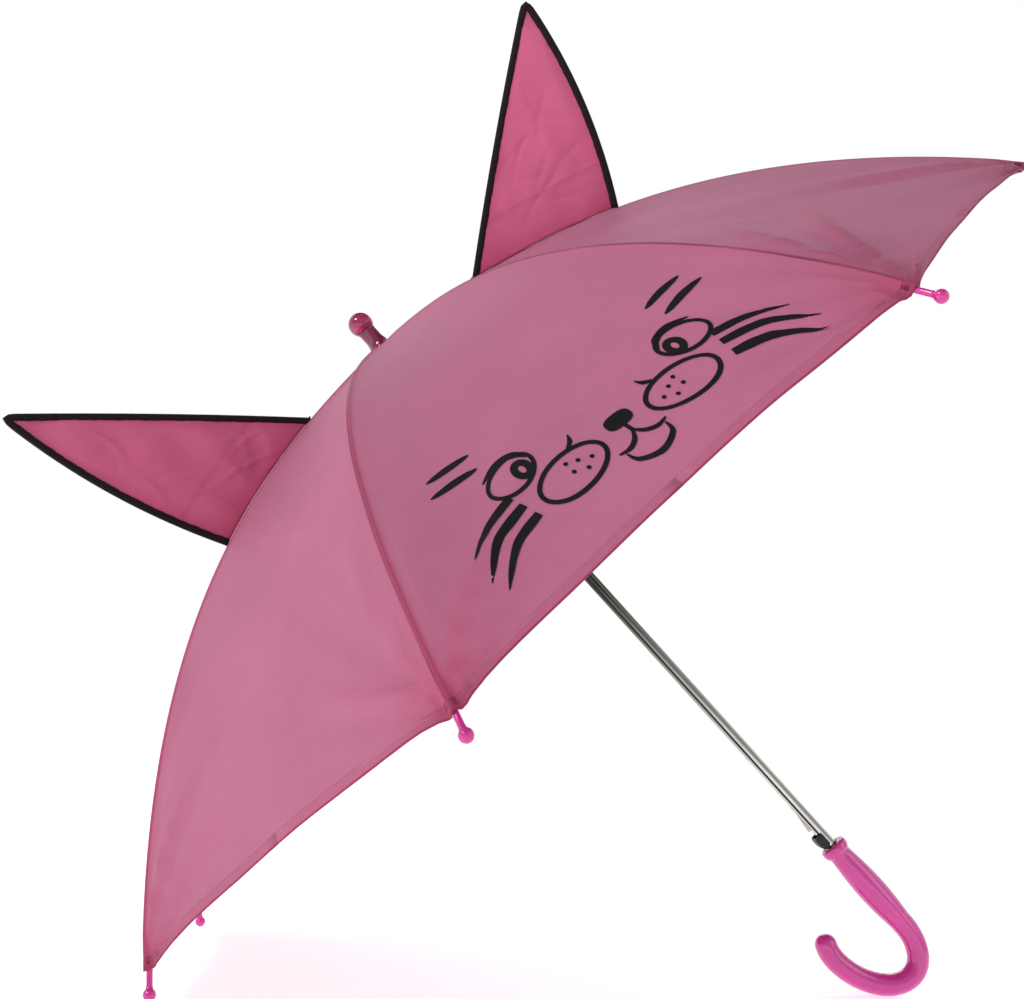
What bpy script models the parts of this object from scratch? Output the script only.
"""Children's stick umbrella with cat ears, open, lying on two rib tips and its hooked handle.

The umbrella is modelled upright in its own frame and then laid down by one parent empty.
Upright frame: Z runs up the shaft to the ferrule, z = 0 is the plane of the canopy's eight
corners, the cat face looks along -Y and the handle's hook points along -X.
The eight ribs stand at 22.5 degrees, 67.5 degrees and so on round the shaft.
"""
import math

import bmesh
import bpy
from mathutils import Matrix, Vector

MM = 0.001

# Canopy
RIBS = 8
RIB_STEP = 2 * math.pi / RIBS
CANOPY_RADIUS = 395 * MM        # from the shaft's axis to a corner
CROWN_HEIGHT = 205 * MM         # from the corners up to the fabric at the shaft
CROWN_SLOPE = 0.238             # share of the drop that is a straight cone
CROWN_POWER = 2.58              # power of the rest of the drop
CANOPY_HOLE = 5.5 * MM
PANEL_THICKNESS = 0.8 * MM
PANEL_SAG = 5 * MM              # how far a panel's middle lies inside the chord of its ribs
HEM_DIP = 0.012                 # share by which the hem is drawn in half way along it
SEAM_GAP = 0.25 * MM
PANEL_ROWS, PANEL_COLUMNS = 11, 4

# Shaft and its slots, all on the hook's side
SHAFT_RADIUS = 4.0 * MM
SHAFT_BORE = 3.4 * MM
SHAFT_TOP, SHAFT_BOTTOM = 220.5 * MM, -331 * MM
SLOT_WIDTH = 1.8 * MM
DIMPLE_Z = -178.5 * MM

# Top notch, where the ribs hinge on a wire ring
PIVOT_RADIUS = 11 * MM
NOTCH_Z = 198 * MM
NOTCH_RADIUS = 14 * MM
NOTCH_SLOT = 2.0 * MM
RUNNER_SLOT = 3.2 * MM
NOTCH_SLOT_FLOOR = 8.2 * MM
WIRE_RADIUS = 0.5 * MM
EYE_HOLE = 0.75 * MM
EYE_RADIUS = 1.7 * MM
EYE_THICKNESS = 1.2 * MM
PIN_RADIUS = 0.75 * MM
PIN_CLEARANCE = 0.2 * MM

# Ribs and stretchers are fluted channels
CHANNEL = 2.6 * MM
CHANNEL_WALL = 0.6 * MM
RIB_DEPTH = 2.8 * MM            # rib's middle below the fabric's outer face
RIB_END_RADIUS = 391.5 * MM
JOINT_RADIUS = 208 * MM         # where a stretcher meets its rib
JOINT_DROP = 4.2 * MM           # rivet below the rib's middle
RIVET_HOLE = 0.95 * MM

# Rib tips
TIP_SLEEVE_RADIUS = 2.5 * MM
TIP_BORE = 2.15 * MM
TIP_NECK_RADIUS = 1.8 * MM
TIP_BALL_RADIUS = 3.75 * MM
TIP_BALL_REACH = 18 * MM      # ball's centre beyond the rib's end
FOLDED_TIP_RADIUS = 19 * MM     # ball's centre from the shaft's axis when folded

# Runner
RUNNER_BORE = 4.6 * MM
RUNNER_RADIUS = 7.6 * MM
RUNNER_CROWN_RADIUS = 14.5 * MM
RUNNER_CROWN_HALF = 4.0 * MM
RUNNER_LENGTH = 55 * MM         # pivot down to the lower rim
RUNNER_RIM = 3.7 * MM
RUNNER_RIM_RADIUS = 10.5 * MM
WINDOW_WIDTH = 3.2 * MM
WINDOW_HEIGHT = 21 * MM

# Handle
COLLAR_Z = -261.5 * MM
HOOK_RADIUS = 7.65 * MM
HANDLE_SIDES = 14

# Ears, in a rib's plane: distance from the shaft's axis and height
EAR_INNER, EAR_OUTER = 79 * MM, 186 * MM
EAR_TIPS = {"ear_left": (243.5 * MM, 313.9 * MM), "ear_right": (234.7 * MM, 308 * MM)}
EAR_BULGE_INNER, EAR_BULGE_OUTER = 1.5 * MM, 8 * MM
EAR_TIP_ROUND = 6.5 * MM
EAR_THICKNESS = 2.4 * MM
EAR_LIFT = 0.5 * MM
PIPING_WIDTH = 5.2 * MM
PIPING_THICKNESS = 3.6 * MM
EAR_RIBS = {"ear_left": 5, "ear_right": 8}

# Closing strap on the back panel, which starts at rib 2. Its ends are given as distance from the
# shaft's axis and share of the way across the panel; the press stud as shares of the strap's length.
STRAP_RIB = 2
STRAP_TOP, STRAP_END = (307 * MM, 0.137), (377.8 * MM, 0.431)
STRAP_WIDTH, STRAP_THICKNESS, STRAP_LIFT = 16 * MM, 1.2 * MM, 1.6 * MM
SNAP_RADIUS, SNAP_HEIGHT = 4.6 * MM, 1.6 * MM
SNAP_CAP, SNAP_POST = 0.91, 0.08

GAP = 0.3 * MM

COLOURS = {
    "canopy": ((0.50, 0.18, 0.29), 0.75, 0.0),
    "ear": ((0.50, 0.10, 0.19), 0.75, 0.0),
    "piping": ((0.012, 0.004, 0.006), 0.6, 0.0),
    "magenta_plastic": ((0.60, 0.07, 0.31), 0.15, 0.0),
    "black_plastic": ((0.01, 0.01, 0.011), 0.35, 0.0),
    "white_plastic": ((0.80, 0.80, 0.80), 0.4, 0.0),
    "chrome": ((0.75, 0.76, 0.75), 0.12, 1.0),
    "steel": ((0.55, 0.55, 0.56), 0.3, 1.0),
}


# ---------------------------------------------------------------- helpers

def clear_scene():
    for obj in list(bpy.data.objects):
        bpy.data.objects.remove(obj, do_unlink=True)


def material(name):
    found = bpy.data.materials.get(name)
    if found:
        return found
    colour, roughness, metallic = COLOURS[name]
    made = bpy.data.materials.new(name)
    made.use_nodes = True
    shader = made.node_tree.nodes["Principled BSDF"]
    shader.inputs["Base Color"].default_value = (*colour, 1)
    shader.inputs["Roughness"].default_value = roughness
    shader.inputs["Metallic"].default_value = metallic
    made.diffuse_color = (*colour, 1)
    return made


def mesh_from(bm, name):
    """The bmesh as a mesh with all its faces pointing out."""
    bmesh.ops.recalc_face_normals(bm, faces=bm.faces)
    if bm.calc_volume(signed=True) < 0:
        bmesh.ops.reverse_faces(bm, faces=bm.faces)
    mesh = bpy.data.meshes.new(name)
    bm.to_mesh(mesh)
    bm.free()
    return mesh


def add(name, mesh, colour, parent=None, smooth=40):
    """One named object. Its mesh may be shared with the object's repeats."""
    obj = bpy.data.objects.new(name, mesh)
    bpy.context.scene.collection.objects.link(obj)
    if not mesh.materials:
        mesh.materials.append(material(colour))
        mesh.shade_smooth()
        mesh.set_sharp_from_angle(angle=math.radians(smooth))
    obj.parent = parent
    return obj


def add_empty(name, parent, location=(0, 0, 0), turn=0.0):
    empty = bpy.data.objects.new(name, None)
    empty.empty_display_size = 0.01
    bpy.context.scene.collection.objects.link(empty)
    empty.parent = parent
    empty.location = location
    empty.rotation_euler = (0, 0, turn)
    return empty


def loft(rings, name):
    """A closed solid through rings of equally many points, with flat ends."""
    bm = bmesh.new()
    levels = [[bm.verts.new(point) for point in ring] for ring in rings]
    count = len(rings[0])
    for low, high in zip(levels, levels[1:]):
        for i in range(count):
            j = (i + 1) % count
            bm.faces.new((low[i], low[j], high[j], high[i]))
    ends = [bm.faces.new(levels[0]), bm.faces.new(levels[-1])]
    bm.normal_update()
    bmesh.ops.triangulate(bm, faces=ends, ngon_method="EAR_CLIP")
    return mesh_from(bm, name)


def lathe(profile, name, steps=32):
    """A turned solid: a closed outline of (radius, z) points spun round Z.

    A point on the axis becomes one vertex.
    """
    bm = bmesh.new()
    rings = []
    for radius, z in profile:
        if radius <= 0:
            rings.append([bm.verts.new((0, 0, z))] * steps)
            continue
        rings.append([
            bm.verts.new((radius * math.cos(a), radius * math.sin(a), z))
            for a in (2 * math.pi * i / steps for i in range(steps))
        ])
    for one, two in zip(rings, rings[1:] + rings[:1]):
        for i in range(steps):
            j = (i + 1) % steps
            corners = []
            for vert in (one[i], one[j], two[j], two[i]):
                if vert not in corners:
                    corners.append(vert)
            if len(corners) > 2:
                bm.faces.new(corners)
    return mesh_from(bm, name)


def prism(outline, low, high, name):
    """A flat outline of (x, z) points, thick from y = low to y = high."""
    return loft([[(x, y, z) for x, z in outline] for y in (low, high)], name)


def box(low, high, name="box"):
    corners = [(low[0], low[2]), (high[0], low[2]), (high[0], high[2]), (low[0], high[2])]
    return prism(corners, low[1], high[1], name)


def rod(radius, start, end, name="rod", sides=12):
    """A round bar between two points."""
    start, end = Vector(start), Vector(end)
    turn = (end - start).to_track_quat("Z", "Y").to_matrix()
    rings = []
    for centre in (start, end):
        ring = []
        for i in range(sides):
            a = 2 * math.pi * i / sides
            ring.append(centre + turn @ Vector((radius * math.cos(a), radius * math.sin(a), 0)))
        rings.append(ring)
    return loft(rings, name)


def carved(mesh, name, cut=(), join=()):
    """The mesh with other meshes joined to it and then cut out of it."""
    obj = bpy.data.objects.new(name, mesh)
    bpy.context.scene.collection.objects.link(obj)
    tools = []
    for operation, others in (("UNION", join), ("DIFFERENCE", cut)):
        for other in others:
            tool = bpy.data.objects.new("tool", other)
            bpy.context.scene.collection.objects.link(tool)
            tool.hide_render = True
            tool.display_type = "WIRE"
            tools.append(tool)
            step = obj.modifiers.new(operation.lower(), "BOOLEAN")
            step.operation = operation
            step.solver = "EXACT"
            step.object = tool
    bpy.context.view_layer.update()
    evaluated = obj.evaluated_get(bpy.context.evaluated_depsgraph_get())
    result = bpy.data.meshes.new_from_object(evaluated)
    result.name = name
    for used in [obj, *tools]:
        bpy.data.objects.remove(used, do_unlink=True)
    return result


def turned(mesh, angle):
    """A copy of a tool's mesh, turned round Z."""
    copy = mesh.copy()
    copy.transform(Matrix.Rotation(angle, 4, "Z"))
    return copy


def bezier(a, b, c, d, steps):
    """Points along a cubic curve, without its last one."""
    points = []
    for i in range(steps):
        t = i / steps
        s = 1 - t
        points.append(tuple(
            s ** 3 * a[k] + 3 * s * s * t * b[k] + 3 * s * t * t * c[k] + t ** 3 * d[k]
            for k in range(2)
        ))
    return points


def smoothstep(x):
    x = min(max(x, 0.0), 1.0)
    return x * x * (3 - 2 * x)


# ---------------------------------------------------------------- canopy and rib curves

def canopy_z(r):
    """Height of the fabric's outer face over a rib, at a distance from the axis."""
    share = r / CANOPY_RADIUS
    fall = CROWN_SLOPE * share + (1 - CROWN_SLOPE) * share ** CROWN_POWER
    return CROWN_HEIGHT * (1 - fall)


def rib_point(r):
    """The rib's middle line in its own frame: origin on the hinge, X outwards, Z up the shaft.

    It follows the fabric's inner face, but starts at the hinge and ends inside the tip's sleeve.
    """
    near_hinge = max(0.0, 1 - (r - PIVOT_RADIUS) / (19 * MM)) ** 2
    near_tip = smoothstep((r - 370 * MM) / (18 * MM))
    slope = math.atan2(canopy_z(r - MM) - canopy_z(r), MM)
    depth = RIB_DEPTH + 1.1 * MM * near_tip
    hinge_drop = canopy_z(PIVOT_RADIUS) - RIB_DEPTH - NOTCH_Z
    x = r - depth * math.sin(slope)
    z = canopy_z(r) - depth * math.cos(slope) - hinge_drop * near_hinge
    return in_rib_frame(x, z)


def in_rib_frame(r, z):
    return r - PIVOT_RADIUS, z - NOTCH_Z


def panel_radius(row):
    return CANOPY_HOLE + (CANOPY_RADIUS - CANOPY_HOLE) * row / PANEL_ROWS


RIB_END = rib_point(RIB_END_RADIUS)
RIB_BEFORE_END = rib_point(RIB_END_RADIUS - MM)
TIP_SLOPE = math.atan2(RIB_BEFORE_END[1] - RIB_END[1], RIB_END[0] - RIB_BEFORE_END[0])
TIP_BALL = (
    RIB_END[0] + TIP_BALL_REACH * math.cos(TIP_SLOPE),
    RIB_END[1] - TIP_BALL_REACH * math.sin(TIP_SLOPE),
)
JOINT_SLOPE = math.atan2(rib_point(JOINT_RADIUS)[1] - rib_point(JOINT_RADIUS + MM)[1], MM)
JOINT = (
    rib_point(JOINT_RADIUS)[0] - JOINT_DROP * math.sin(JOINT_SLOPE),
    rib_point(JOINT_RADIUS)[1] - JOINT_DROP * math.cos(JOINT_SLOPE),
)
STRETCHER_LENGTH = math.hypot(*JOINT)
OPEN_ANGLE = math.atan2(JOINT[0], -JOINT[1])
RUNNER_Z = NOTCH_Z - 2 * STRETCHER_LENGTH * math.cos(OPEN_ANGLE)
FOLD_ANGLE = math.atan2(TIP_BALL[0], -TIP_BALL[1]) - math.asin(
    (FOLDED_TIP_RADIUS - PIVOT_RADIUS) / math.hypot(*TIP_BALL)
)
RUNNER_FOLDED_Z = NOTCH_Z - 2 * STRETCHER_LENGTH * math.cos(OPEN_ANGLE - FOLD_ANGLE)


# ---------------------------------------------------------------- shaft group

def pin_hole(z, reach):
    return rod(PIN_RADIUS + PIN_CLEARANCE, (0, -reach, z), (0, reach, z))


NOTCH_PIN_Z = 196 * MM
HANDLE_PIN_Z = -272 * MM


def shaft_slot(low, high):
    half = SLOT_WIDTH / 2
    return box((-SHAFT_RADIUS - MM, -half, low), (-2 * MM, half, high))


def shaft_tube():
    profile = [
        (SHAFT_BORE, SHAFT_BOTTOM), (SHAFT_BORE, SHAFT_TOP),
        (SHAFT_RADIUS, SHAFT_TOP), (SHAFT_RADIUS, SHAFT_BOTTOM),
    ]
    tube = lathe(profile, "tube", 24)
    dimple = bmesh.new()
    place = Matrix.Translation((-SHAFT_RADIUS + 0.15 * MM, 0, DIMPLE_Z)) @ Matrix.Diagonal((1, 3, 3, 1))
    bmesh.ops.create_icosphere(dimple, subdivisions=2, radius=0.4 * MM, matrix=place)
    dimple = mesh_from(dimple, "dimple")
    return carved(tube, "shaft_tube", join=[dimple], cut=[
        shaft_slot(top_catch_z() - 19 * MM, top_catch_z() + 1.2 * MM),
        shaft_slot(LOWER_CATCH_Z - 14 * MM, LOWER_CATCH_Z + 21 * MM),
        pin_hole(NOTCH_PIN_Z, 6 * MM),
        pin_hole(HANDLE_PIN_Z, 6 * MM),
    ])


def ferrule():
    """Flared foot, neck and safety ball, hollow for the end of the shaft."""
    ball_z, ball_radius, neck, flat = 225.2 * MM, 8.7 * MM, 6.3 * MM, 2.5 * MM
    bore = SHAFT_RADIUS + GAP
    foot = 10.1 * MM
    profile = [(bore, canopy_z(bore) + GAP), (foot, canopy_z(foot) + GAP)]
    profile.append((foot, canopy_z(foot) + 1.3 * MM))
    for i in range(1, 5):
        a = math.pi / 2 * i / 4
        profile.append((foot - (foot - neck) * math.sin(a), 212 * MM - 6.9 * MM * math.cos(a)))
    start = math.asin(neck / ball_radius)
    end = math.pi - math.asin(flat / ball_radius)
    for i in range(9):
        a = start + (end - start) * i / 8
        profile.append((ball_radius * math.sin(a), ball_z - ball_radius * math.cos(a)))
    profile += [(0, ball_z - ball_radius * math.cos(end)), (0, SHAFT_TOP + GAP)]
    profile.append((bore, SHAFT_TOP + GAP))
    return lathe(profile, "ferrule", 20)


def slotted_crown(profile, name, slot_width, outer, low, high):
    """A turned crown with a slot for each rib or stretcher."""
    slots = []
    half = slot_width / 2
    for i in range(RIBS):
        slot = box((NOTCH_SLOT_FLOOR, -half, low - MM), (outer + MM, half, high + MM))
        slots.append(turned(slot, RIB_STEP * (i + 0.5)))
    return lathe(profile, name, 24), slots


def top_notch():
    low, high, bore = 194.5 * MM, 201.3 * MM, SHAFT_RADIUS + GAP
    edge = 0.8 * MM
    profile = [
        (bore, low), (bore, high), (NOTCH_RADIUS - edge, high), (NOTCH_RADIUS, high - edge),
        (NOTCH_RADIUS, low + edge), (NOTCH_RADIUS - edge, low),
    ]
    crown, cuts = slotted_crown(profile, "crown", NOTCH_SLOT, NOTCH_RADIUS, low, high)
    groove = WIRE_RADIUS + 0.15 * MM
    channel = [
        (PIVOT_RADIUS - groove, NOTCH_Z - groove), (PIVOT_RADIUS - groove, high + MM),
        (PIVOT_RADIUS + groove, high + MM), (PIVOT_RADIUS + groove, NOTCH_Z - groove),
    ]
    cuts.append(lathe(channel, "wire_groove", 24))
    cuts.append(pin_hole(NOTCH_PIN_Z, NOTCH_SLOT_FLOOR + 0.5 * MM))
    return carved(crown, "top_notch", cut=cuts)


def wire_ring():
    sides = 6
    profile = []
    for i in range(sides):
        a = 2 * math.pi * i / sides
        profile.append((PIVOT_RADIUS + WIRE_RADIUS * math.cos(a), NOTCH_Z - WIRE_RADIUS * math.sin(a)))
    return lathe(profile, "notch_wire", 24)


def crown_washer():
    bore, rim, low = SHAFT_RADIUS + GAP, 9.5 * MM, 201.6 * MM
    profile = [(bore, low), (bore, low + 0.5 * MM), (rim, low + 0.5 * MM), (rim, low)]
    return lathe(profile, "crown_washer", 32)


def handle_path():
    """The handle's middle line as (x, z) below the collar, with its radius at each point."""
    grip = [
        (0.0, 8.9), (0.8, 9.6), (2.5, 9.75), (5.0, 9.7), (6.4, 9.2), (7.8, 8.2), (10, 7.95),
        (16, 8.5), (24, 9.2), (33, 9.75), (42, 9.85), (50, 9.6), (58, 9.0), (66, 8.2),
    ]
    stations = [((0.0, -depth * MM), radius * MM) for depth, radius in grip]
    hook = bezier((0, -72), (0, -90), (-9, -101.8), (-20, -101.8), 8)
    hook += bezier((-20, -101.8), (-35, -101.8), (-49, -83), (-51.5, -62), 9)
    hook += bezier((-51.5, -62), (-52.3, -55), (-51.5, -50), (-49.5, -45.5), 3)
    hook.append((-49.5, -45.5))
    for x, z in hook:
        taper = HOOK_RADIUS + 0.02 * MM * (z + 80) if x == 0 else HOOK_RADIUS
        stations.append(((x * MM, z * MM), taper))
    return stations


def handle_centres():
    return [(x, z + COLLAR_Z) for (x, z), _ in handle_path()]


def handle():
    """The J hook: rings along its middle line, and a round end."""
    stations = handle_path()
    rings = []

    def ring(centre, along, radius):
        across = Vector((along.z, 0, -along.x))
        points = []
        for i in range(HANDLE_SIDES):
            a = 2 * math.pi * i / HANDLE_SIDES
            offset = across * math.cos(a) + Vector((0, 1, 0)) * math.sin(a)
            points.append(centre + offset * radius)
        return points

    centres = [Vector((x, 0, z + COLLAR_Z)) for (x, z), _ in stations]
    along = Vector((0, 0, -1))
    for i, (centre, (_, radius)) in enumerate(zip(centres, stations)):
        before, after = centres[max(i - 1, 0)], centres[min(i + 1, len(centres) - 1)]
        along = (after - before).normalized()
        rings.append(ring(centre, along, radius))
    for i in range(1, 5):
        a = math.radians(20 * i)
        end = centres[-1] + along * HOOK_RADIUS * math.sin(a)
        rings.append(ring(end, along, HOOK_RADIUS * math.cos(a)))
    bore = rod(SHAFT_RADIUS + GAP, (0, 0, COLLAR_Z + MM), (0, 0, SHAFT_BOTTOM - GAP), sides=24)
    return carved(loft(rings, "hook"), "handle", cut=[bore, pin_hole(HANDLE_PIN_Z, 12 * MM)])


# ---------------------------------------------------------------- runner and catches

def top_catch_z():
    """The top catch's shoulder, just under the open runner's rim."""
    return RUNNER_Z - RUNNER_LENGTH - 0.4 * MM


LOWER_CATCH_Z = RUNNER_FOLDED_Z - RUNNER_LENGTH + RUNNER_RIM + 0.4 * MM
SPRING_FACE, SPRING_BACK = -3.1 * MM, -1.9 * MM
SPRING_HALF = 0.6 * MM
TOP_NOSE, LOWER_NOSE = -6.3 * MM, -6.0 * MM
BUTTON_TOP = RUNNER_FOLDED_Z - RUNNER_LENGTH - 0.9 * MM
BUTTON_BOTTOM = COLLAR_Z + 0.7 * MM
TOP_CATCH_PIVOT = (-2.5 * MM, 0, top_catch_z() - 28 * MM)
LOWER_CATCH_PIVOT = (-2.5 * MM, 0, DIMPLE_Z)


def top_catch():
    z = top_catch_z()
    outline = [
        (SPRING_BACK, z - 32 * MM), (SPRING_BACK, z), (TOP_NOSE, z), (TOP_NOSE, z - MM),
        (-4.0 * MM, z - 15 * MM), (SPRING_FACE, z - 18 * MM), (SPRING_FACE, z - 32 * MM),
    ]
    return prism(outline, -SPRING_HALF, SPRING_HALF, "top_catch")


def lower_catch():
    z = LOWER_CATCH_Z
    shelf = -3.9 * MM
    button_wall = -6.0 * MM
    outline = [
        (SPRING_BACK, DIMPLE_Z + 3 * MM), (SPRING_FACE, DIMPLE_Z + 3 * MM),
        (SPRING_FACE, z + 19.5 * MM), (-4.0 * MM, z + 16 * MM), (LOWER_NOSE, z + 0.8 * MM),
        (LOWER_NOSE, z), (shelf, z), (shelf, BUTTON_TOP - 2 * MM), (button_wall, BUTTON_TOP - 2 * MM),
        (button_wall, BUTTON_TOP - 7 * MM), (SPRING_BACK, BUTTON_TOP - 7 * MM),
    ]
    return prism(outline, -SPRING_HALF, SPRING_HALF, "lower_catch")


def release_button():
    """A saddle over the shaft: an outer wall and two cheeks, rounded off towards the handle."""
    low, high = BUTTON_BOTTOM, BUTTON_TOP
    outline = [
        (-0.6 * MM, low + 2.2 * MM), (-4.6 * MM, low), (-6.4 * MM, low + 1.6 * MM),
        (-7.3 * MM, low + 4.5 * MM), (-7.3 * MM, high - 1.6 * MM), (-6.2 * MM, high), (-0.6 * MM, high),
    ]
    block = prism(outline, -5.4 * MM, 5.4 * MM, "block")
    inside = box((-6.3 * MM, -4.3 * MM, low - MM), (MM, 4.3 * MM, high + MM))
    return carved(block, "release_button", cut=[inside])


def runner():
    """Sleeve on the shaft: slotted crown, catch window and finger rim, about its pivot plane."""
    half, length = RUNNER_CROWN_HALF, RUNNER_LENGTH
    edge = 0.8 * MM
    profile = [
        (RUNNER_BORE, -length), (RUNNER_BORE, half + 2 * MM), (RUNNER_RADIUS, half + 2 * MM),
        (RUNNER_RADIUS, half), (RUNNER_CROWN_RADIUS - edge, half), (RUNNER_CROWN_RADIUS, half - edge),
        (RUNNER_CROWN_RADIUS, edge - half), (RUNNER_CROWN_RADIUS - edge, -half),
        (RUNNER_RADIUS, -half), (RUNNER_RADIUS, RUNNER_RIM - length),
        (RUNNER_RIM_RADIUS, RUNNER_RIM - edge - length), (RUNNER_RIM_RADIUS, edge - length),
        (RUNNER_RIM_RADIUS - edge, -length),
    ]
    sleeve, cuts = slotted_crown(profile, "sleeve", RUNNER_SLOT, RUNNER_CROWN_RADIUS, -half, half)
    window = WINDOW_WIDTH / 2
    cuts.append(box(
        (-RUNNER_RADIUS - 5 * MM, -window, RUNNER_RIM - length),
        (-RUNNER_BORE + 2 * MM, window, RUNNER_RIM - length + WINDOW_HEIGHT),
    ))
    return carved(sleeve, "runner", cut=cuts)


# ---------------------------------------------------------------- ribs, tips, stretchers

def channel(points, ends, name):
    """A fluted channel along (x, z) points whose ends are pressed flat.

    ends tells at each point how flat it is: 0 is the full channel, 1 a flat tongue.
    A third value of a point is its half height, where it isn't the channel's own.
    """
    rings = []
    for i, (point, flat) in enumerate(zip(points, ends)):
        x, z, half_height = point
        x0, z0, _ = points[max(i - 1, 0)]
        x1, z1, _ = points[min(i + 1, len(points) - 1)]
        length = math.hypot(x1 - x0, z1 - z0)
        nx, nz = (z0 - z1) / length, (x1 - x0) / length
        half = CHANNEL / 2 + (EYE_THICKNESS / 2 - CHANNEL / 2) * flat
        lip = CHANNEL / 2 - CHANNEL_WALL - 0.5 * MM * flat
        floor = CHANNEL_WALL - CHANNEL / 2
        floor += (half_height - 0.15 * MM - floor) * flat
        rim = half_height - 0.06 * MM
        section = [
            (-half, -half_height), (half, -half_height), (half, half_height), (lip, rim),
            (lip, floor), (-lip, floor), (-lip, rim), (-half, half_height),
        ]
        rings.append([(x + nx * v, y, z + nz * v) for y, v in section])
    return loft(rings, name)


def eye_points(centre, toward):
    """Points and flatness of a round eye, from its tip towards another point of its channel."""
    dx, dz = toward[0] - centre[0], toward[1] - centre[1]
    length = math.hypot(dx, dz)
    shape = [(-EYE_RADIUS * math.cos(a), EYE_RADIUS * math.sin(a))
             for a in map(math.radians, (20, 50, 90))]
    shape += [(4 * MM, CHANNEL / 2)]
    points = []
    for along, half_height in shape:
        points.append((centre[0] + dx / length * along, centre[1] + dz / length * along, half_height))
    return points, [1] * len(points)


def cross_hole(centre, radius):
    return rod(radius, (centre[0], -9 * MM, centre[1]), (centre[0], 9 * MM, centre[1]), sides=8)


def rib():
    """Eye at the notch's wire, fluted channel, and two cheeks for the stretcher's rivet."""
    radii = [PIVOT_RADIUS + 7.5 * MM, *map(panel_radius, range(1, PANEL_ROWS)), RIB_END_RADIUS]
    line = [(*rib_point(r), CHANNEL / 2) for r in radii]
    points, ends = eye_points((0, 0), line[0])
    body = channel(points + line, ends + [0] * len(line), "rib")
    cheeks = []
    x, z = JOINT
    for low, high in ((0.95 * MM, 1.55 * MM), (-1.55 * MM, -0.95 * MM)):
        outline = [
            (x - 3.6 * MM, z + 5.6 * MM), (x + 6.2 * MM, z + 2.1 * MM), (x + 1.9 * MM, z - 0.9 * MM),
            (x, z - 1.9 * MM), (x - 1.9 * MM, z - 0.7 * MM),
        ]
        cheeks.append(prism(outline, low, high, "cheek"))
    return carved(body, "rib", join=cheeks, cut=[
        cross_hole((0, 0), EYE_HOLE), cross_hole(JOINT, RIVET_HOLE),
    ])


def rivet():
    half, head = 1.75 * MM, 0.5 * MM
    profile = [
        (0, -half - head), (1.3 * MM, -half - head), (1.5 * MM, -half), (PIN_RADIUS, -half),
        (PIN_RADIUS, half), (1.5 * MM, half), (1.3 * MM, half + head), (0, half + head),
    ]
    mesh = lathe(profile, "rivet", 8)
    mesh.transform(Matrix.Rotation(math.pi / 2, 4, "X"))
    return mesh


def stretcher():
    """Along X from the rib's rivet to the runner: eye, fluted channel, eye."""
    length = STRETCHER_LENGTH
    points, ends = eye_points((0, 0), (length, 0))
    far, far_ends = eye_points((length, 0), (0, 0))
    middle = [(10 * MM, 0, CHANNEL / 2), (length - 10 * MM, 0, CHANNEL / 2)]
    body = channel(points + middle + far[::-1], ends + [0, 0] + far_ends, "stretcher")
    return carved(body, "stretcher", cut=[
        cross_hole((0, 0), RIVET_HOLE), cross_hole((length, 0), EYE_HOLE),
    ])


def rib_tip():
    """Turned on the rib's end: sleeve, neck and safety ball, with a socket for the rib."""
    socket = 9 * MM
    ball, neck = TIP_BALL_RADIUS, TIP_NECK_RADIUS
    profile = [
        (TIP_BORE, -socket), (TIP_SLEEVE_RADIUS - 0.1 * MM, -socket), (TIP_SLEEVE_RADIUS, 0.8 * MM),
        (neck + 0.2 * MM, 2.6 * MM), (neck, 4 * MM),
    ]
    start = math.asin(neck / ball)
    for i in range(6):
        a = start + (math.pi - start) * i / 6
        profile.append((ball * math.sin(a), TIP_BALL_REACH - ball * math.cos(a)))
    profile += [(0, TIP_BALL_REACH + ball), (0, 0.6 * MM), (TIP_BORE, 0.6 * MM)]
    mesh = lathe(profile, "rib_tip", 11)
    mesh.transform(Matrix.Translation((RIB_END[0], 0, RIB_END[1]))
                   @ Matrix.Rotation(math.pi / 2 + TIP_SLOPE, 4, "Y"))
    return mesh


# ---------------------------------------------------------------- fabric

def panel_point(r, across):
    """Outer face of a panel. across runs from 0 at its first rib to 1 at the next one."""
    bow = 4 * across * (1 - across)
    r = r * (1 - HEM_DIP * bow * (r / CANOPY_RADIUS) ** 4)
    one = Vector((r, 0, canopy_z(r)))
    two = Matrix.Rotation(RIB_STEP, 3, "Z") @ one
    slope = math.atan2(canopy_z(r - MM) - canopy_z(r), MM)
    inwards = Vector((-math.sin(slope), 0, -math.cos(slope)))
    inwards.rotate(Matrix.Rotation(RIB_STEP * across, 3, "Z"))
    depth = PANEL_SAG * bow * math.sin(math.pi * (r / CANOPY_RADIUS) ** 0.8)
    depth *= smoothstep(r / (60 * MM))
    return one.lerp(two, across) + inwards * depth, inwards


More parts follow.
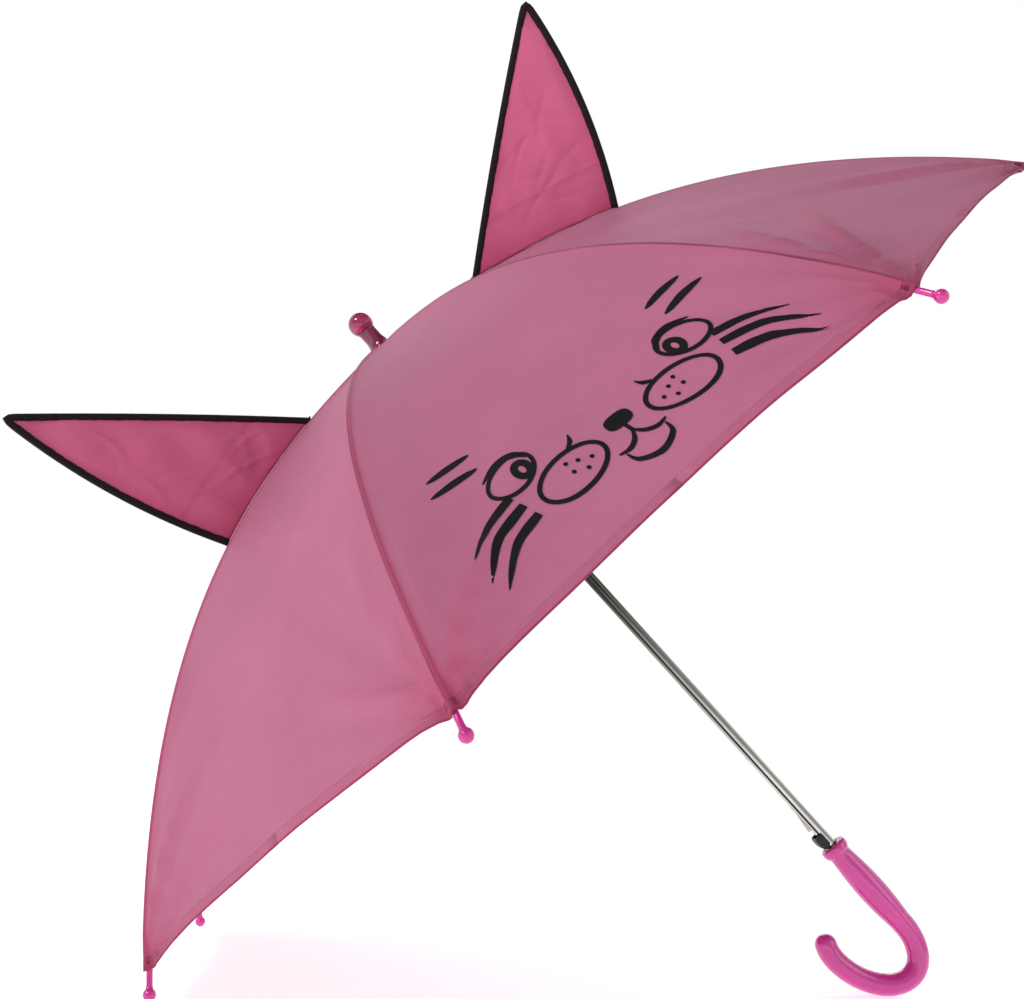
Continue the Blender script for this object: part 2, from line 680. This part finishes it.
def canopy_panel():
    """One gore between two ribs, a thin closed shell, in its first rib's frame."""
    bm = bmesh.new()
    outer, inner = [], []
    for i in range(PANEL_ROWS + 1):
        r = panel_radius(i)
        edge = SEAM_GAP / (4 * r * math.sin(RIB_STEP / 2))
        faces = [], []
        for j in range(PANEL_COLUMNS + 1):
            point, inwards = panel_point(r, edge + (1 - 2 * edge) * j / PANEL_COLUMNS)
            point -= Vector((PIVOT_RADIUS, 0, NOTCH_Z))
            faces[0].append(bm.verts.new(point))
            faces[1].append(bm.verts.new(point + inwards * PANEL_THICKNESS))
        outer.append(faces[0])
        inner.append(faces[1])
    for grid in (outer, inner):
        for low, high in zip(grid, grid[1:]):
            for j in range(PANEL_COLUMNS):
                bm.faces.new((low[j], high[j], high[j + 1], low[j + 1]))
    for i in range(PANEL_ROWS):
        for j in (0, PANEL_COLUMNS):
            bm.faces.new((outer[i][j], outer[i + 1][j], inner[i + 1][j], inner[i][j]))
    for i in (0, PANEL_ROWS):
        for j in range(PANEL_COLUMNS):
            bm.faces.new((outer[i][j], outer[i][j + 1], inner[i][j + 1], inner[i][j]))
    return mesh_from(bm, "canopy_panel")


def ear_edge(name, inset):
    """The ear's free edge in a rib's plane, from its inner foot over the tip to its outer foot."""
    feet = [Vector((r, canopy_z(r) + EAR_LIFT)) for r in (EAR_INNER, EAR_OUTER)]
    tip = Vector(EAR_TIPS[name])
    sides = []
    for foot, bulge, sign in zip(feet, (EAR_BULGE_INNER, EAR_BULGE_OUTER), (-1, 1)):
        run = tip - foot
        out = Vector((run.y, -run.x)).normalized() * sign
        steps = 8
        reach = 1 - 2.2 * EAR_TIP_ROUND / run.length
        side = []
        for i in range(steps + 1):
            t = reach * i / steps
            side.append(foot + run * t + out * bulge * 4 * t * (1 - t))
        sides.append(side)
    first, last = sides[0], sides[1][::-1]
    corner = tip
    rounding = [Vector(p) for p in bezier(
        first[-1], first[-1].lerp(corner, 0.75), last[0].lerp(corner, 0.75), last[0], 7)][1:]
    path = first + rounding + last
    if not inset:
        return path
    moved = []
    for i, point in enumerate(path):
        along = (path[min(i + 1, len(path) - 1)] - path[max(i - 1, 0)]).normalized()
        place = point + Vector((along.y, -along.x)) * inset
        if min((place - other).length for other in path) > 0.97 * inset:
            moved.append(place)
    surface = [Vector((p.x, canopy_z(p.x) + EAR_LIFT)) for p in (moved[0], moved[-1])]
    moved[0], moved[-1] = surface
    return moved


def ear(name):
    path = ear_edge(name, PIPING_WIDTH + GAP)
    start, end = path[-1].x, path[0].x
    foot = []
    for i in range(1, 8):
        r = start + (end - start) * i / 8
        foot.append(Vector((r, canopy_z(r) + EAR_LIFT)))
    outline = [in_rib_frame(p.x, p.y) for p in path + foot]
    return prism(outline, -EAR_THICKNESS / 2, EAR_THICKNESS / 2, "ear")


def ear_piping(name):
    outline = ear_edge(name, 0) + ear_edge(name, PIPING_WIDTH)[::-1]
    outline = [in_rib_frame(p.x, p.y) for p in outline]
    return prism(outline, -PIPING_THICKNESS / 2, PIPING_THICKNESS / 2, "ear_piping")


def strap_frame(share):
    """Place on the strap's midline over its panel, with the directions along, sideways and outwards."""
    def over(t):
        r, across = (top + (end - top) * t for top, end in zip(STRAP_TOP, STRAP_END))
        point, inwards = panel_point(r, across)
        return point - Vector((PIVOT_RADIUS, 0, NOTCH_Z)), -inwards

    point, out = over(share)
    along = (over(share + 0.02)[0] - over(share - 0.02)[0]).normalized()
    side = along.cross(out).normalized()
    return point + out * STRAP_LIFT, side, side.cross(along)


def closing_strap():
    """A band sewn to a panel's outer face by its top end and lying on it, in the rib hinge's frame."""
    rings = []
    for share, wide in [(i / 8, 1) for i in range(8)] + [(0.94, 1), (1, 0.6)]:
        place, side, out = strap_frame(share)
        reach = side * wide * STRAP_WIDTH / 2
        rings.append([
            place - reach, place + reach, place + reach + out * STRAP_THICKNESS,
            place - reach + out * STRAP_THICKNESS,
        ])
    return loft(rings, "closing_strap")


def snap_half(share, name):
    """Half of a press stud on the strap's outer face."""
    profile = [
        (0, 0), (SNAP_RADIUS, 0), (SNAP_RADIUS, 0.6 * MM), (SNAP_RADIUS * 0.55, SNAP_HEIGHT * 0.7),
        (SNAP_RADIUS * 0.4, SNAP_HEIGHT), (0, SNAP_HEIGHT),
    ]
    place, side, out = strap_frame(share)
    mesh = lathe(profile, name, 16)
    turn = out.to_track_quat("Z", "Y").to_matrix().to_4x4()
    mesh.transform(Matrix.Translation(place + out * (STRAP_THICKNESS + GAP)) @ turn)
    return mesh


# ---------------------------------------------------------------- assembly

def resting_tilt():
    """Angle of the shaft over the floor with two rib tips and the hook all touching it."""
    ball_x = -(TIP_BALL[0] + PIVOT_RADIUS) * math.cos(RIB_STEP / 2)
    ball_z = TIP_BALL[1] + NOTCH_Z
    low, high = math.radians(30), math.radians(60)
    for _ in range(40):
        tilt = (low + high) / 2
        height = lambda x, z: x * math.cos(tilt) + z * math.sin(tilt)
        ball = height(ball_x, ball_z) - TIP_BALL_RADIUS
        hook = min(height(x, z) for x, z in handle_centres()) - HOOK_RADIUS
        if hook < ball:
            high = tilt
        else:
            low = tilt
    return tilt


def stand_on_floor(frame):
    """Moves the whole umbrella: its lowest point to z = 0, the middle of its plan to the origin."""
    bpy.context.view_layer.update()
    corners = []
    for obj in bpy.data.objects:
        if obj.type == "MESH":
            corners += [obj.matrix_world @ v.co for v in obj.data.vertices]
    low = [min(c[k] for c in corners) for k in range(3)]
    high = [max(c[k] for c in corners) for k in range(3)]
    frame.location = (-(low[0] + high[0]) / 2, -(low[1] + high[1]) / 2, -low[2])


def build():
    clear_scene()
    tilt = resting_tilt()
    umbrella = add_empty("umbrella", None)
    umbrella.rotation_euler = (0, tilt - math.pi / 2, 0)

    add("shaft_tube", shaft_tube(), "chrome", umbrella)
    add("ferrule", ferrule(), "magenta_plastic", umbrella, 50)
    add("top_notch", top_notch(), "white_plastic", umbrella)
    add("notch_wire", wire_ring(), "steel", umbrella, 60)
    add("crown_washer", crown_washer(), "canopy", umbrella)
    reach = NOTCH_SLOT_FLOOR - 0.2 * MM
    add("notch_pin", rod(PIN_RADIUS, (0, -reach, NOTCH_PIN_Z), (0, reach, NOTCH_PIN_Z)), "steel", umbrella)
    add("handle", handle(), "magenta_plastic", umbrella, 50)
    reach = 7.6 * MM
    add("handle_pin", rod(PIN_RADIUS, (0, -reach, HANDLE_PIN_Z), (0, reach, HANDLE_PIN_Z)), "steel", umbrella)

    runner_place = add_empty("runner_place", umbrella, (0, 0, RUNNER_Z))
    add("runner", runner(), "white_plastic", runner_place)
    for name, mesh, colour, pivot in (
        ("top_catch", top_catch(), "steel", TOP_CATCH_PIVOT),
        ("lower_catch", lower_catch(), "steel", LOWER_CATCH_PIVOT),
        ("release_button", release_button(), "black_plastic", LOWER_CATCH_PIVOT),
    ):
        hinge = add_empty(name + "_hinge", umbrella, pivot)
        mesh.transform(Matrix.Translation(-Vector(pivot)))
        add(name, mesh, colour, hinge, 30)

    rib_mesh, tip_mesh, stretcher_mesh, rivet_mesh = rib(), rib_tip(), stretcher(), rivet()
    panel_mesh = canopy_panel()
    hinges = {}
    for number in range(1, RIBS + 1):
        azimuth = RIB_STEP * (number - 0.5)
        place = (PIVOT_RADIUS * math.cos(azimuth), PIVOT_RADIUS * math.sin(azimuth), NOTCH_Z)
        hinge = add_empty(f"rib_hinge_{number}", umbrella, place, azimuth)
        hinges[number] = hinge
        add(f"rib_{number}", rib_mesh, "steel", hinge)
        add(f"rib_tip_{number}", tip_mesh, "magenta_plastic", hinge, 50)
        add(f"canopy_panel_{number}", panel_mesh, "canopy", hinge, 60)
        joint = add_empty(f"stretcher_hinge_{number}", hinge, (JOINT[0], 0, JOINT[1]))
        joint.rotation_euler = (0, math.pi / 2 + OPEN_ANGLE, 0)
        add(f"rib_rivet_{number}", rivet_mesh, "steel", hinge).location = (JOINT[0], 0, JOINT[1])
        add(f"stretcher_{number}", stretcher_mesh, "steel", joint)
    for name, number in EAR_RIBS.items():
        add(name, ear(name), "ear", hinges[number])
        add(name + "_piping", ear_piping(name), "piping", hinges[number])

    for name, mesh, colour in (
        ("closing_strap", closing_strap(), "canopy"),
        ("strap_snap_cap", snap_half(SNAP_CAP, "cap"), "steel"),
        ("strap_snap_post", snap_half(SNAP_POST, "post"), "steel"),
    ):
        add(name, mesh, colour, hinges[STRAP_RIB])
    stand_on_floor(umbrella)


build()
